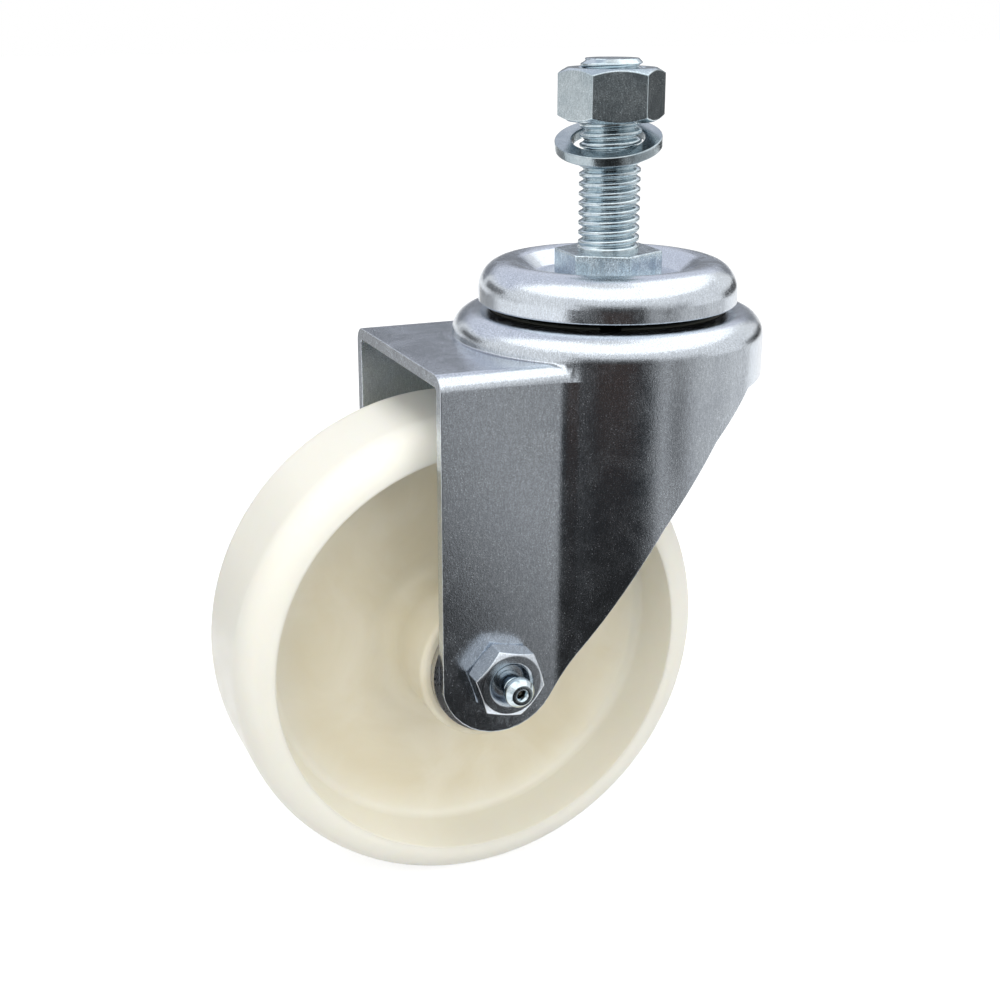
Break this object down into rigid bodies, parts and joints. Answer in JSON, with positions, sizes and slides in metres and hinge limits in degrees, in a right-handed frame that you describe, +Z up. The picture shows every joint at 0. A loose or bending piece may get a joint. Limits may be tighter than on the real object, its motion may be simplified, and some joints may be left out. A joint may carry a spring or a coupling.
{
  "type": "swivel castor",
  "caption": "Swivel castor with threaded stem, hex nut and lock washer, pressed zinc-plated fork on a double ball raceway, grease-fitted axle and cream nylon wheel.",
  "frame": {"origin": "on the swivel axis, in the plane of the hex collar's top face, which seats against the equipment", "axes": "+Z up along the swivel axis and the threaded stem, -X towards the trailing wheel, Y along the wheel's axle with the grease fitting on the -Y side"},
  "size_m": [0.1177, 0.0691, 0.1683],
  "materials": {
    "zinc_plate": "bright bluish zinc plating on pressed and turned steel",
    "stem_plate": "bright zinc plating on the stem, nut and washer",
    "bearing_steel": "hardened and polished, greased",
    "plain_steel": "turned, satin",
    "nylon": "natural cream nylon, moulded, soft gloss"
  },
  "bodies": {
    "stem": {"threaded_stem": "stem_plate", "top_cap": "zinc_plate", "lower_race": "zinc_plate"},
    "washer": {"lock_washer": "stem_plate"},
    "nut": {"stem_nut": "stem_plate"},
    "upper_ball_ring": {"upper_balls": "bearing_steel"},
    "lower_ball_ring": {"lower_balls": "bearing_steel"},
    "fork": {"fork": "zinc_plate", "axle_bolt": "zinc_plate", "axle_nut": "zinc_plate", "grease_fitting": "stem_plate", "grease_check_ball": "bearing_steel", "grease_spring": "bearing_steel", "axle_sleeve": "plain_steel", "near_thrust_washer": "plain_steel", "far_thrust_washer": "plain_steel"},
    "wheel": {"wheel": "nylon"},
    "roller_set": {"roller_cage": "plain_steel", "bearing_rollers": "bearing_steel"}
  },
  "joints": [
    {"name": "swivel", "type": "hinge", "parent": "stem", "child": "fork", "pos_m": [0, 0, 0], "axis": [0, 0, 1], "continuous": true},
    {"name": "wheel_spin", "type": "hinge", "parent": "fork", "child": "wheel", "pos_m": [-0.0344, 0, -0.0794], "axis": [0, 1, 0], "continuous": true},
    {"name": "upper_ball_travel", "type": "hinge", "parent": "stem", "child": "upper_ball_ring", "pos_m": [0, 0, 0], "axis": [0, 0, 1], "continuous": true},
    {"name": "lower_ball_travel", "type": "hinge", "parent": "stem", "child": "lower_ball_ring", "pos_m": [0, 0, 0], "axis": [0, 0, 1], "continuous": true},
    {"name": "roller_travel", "type": "hinge", "parent": "fork", "child": "roller_set", "pos_m": [-0.0344, 0, -0.0794], "axis": [0, 1, 0], "continuous": true},
    {"name": "nut_travel", "type": "slide", "parent": "stem", "child": "washer", "axis": [0, 0, 1], "range_m": [-0.0173, 0.0122]},
    {"name": "nut_turn", "type": "hinge", "parent": "washer", "child": "nut", "pos_m": [0, 0, 0], "axis": [0, 0, 1], "range_deg": [-3180, 2240]}
  ],
  "couplings": [
    {"joint": "upper_ball_travel", "follows": "swivel", "ratio": 0.5},
    {"joint": "lower_ball_travel", "follows": "swivel", "ratio": 0.5},
    {"joint": "roller_travel", "follows": "wheel_spin", "ratio": 0.5986},
    {"joint": "nut_travel", "follows": "nut_turn", "m_per_rad": 0.00031096}
  ]
}
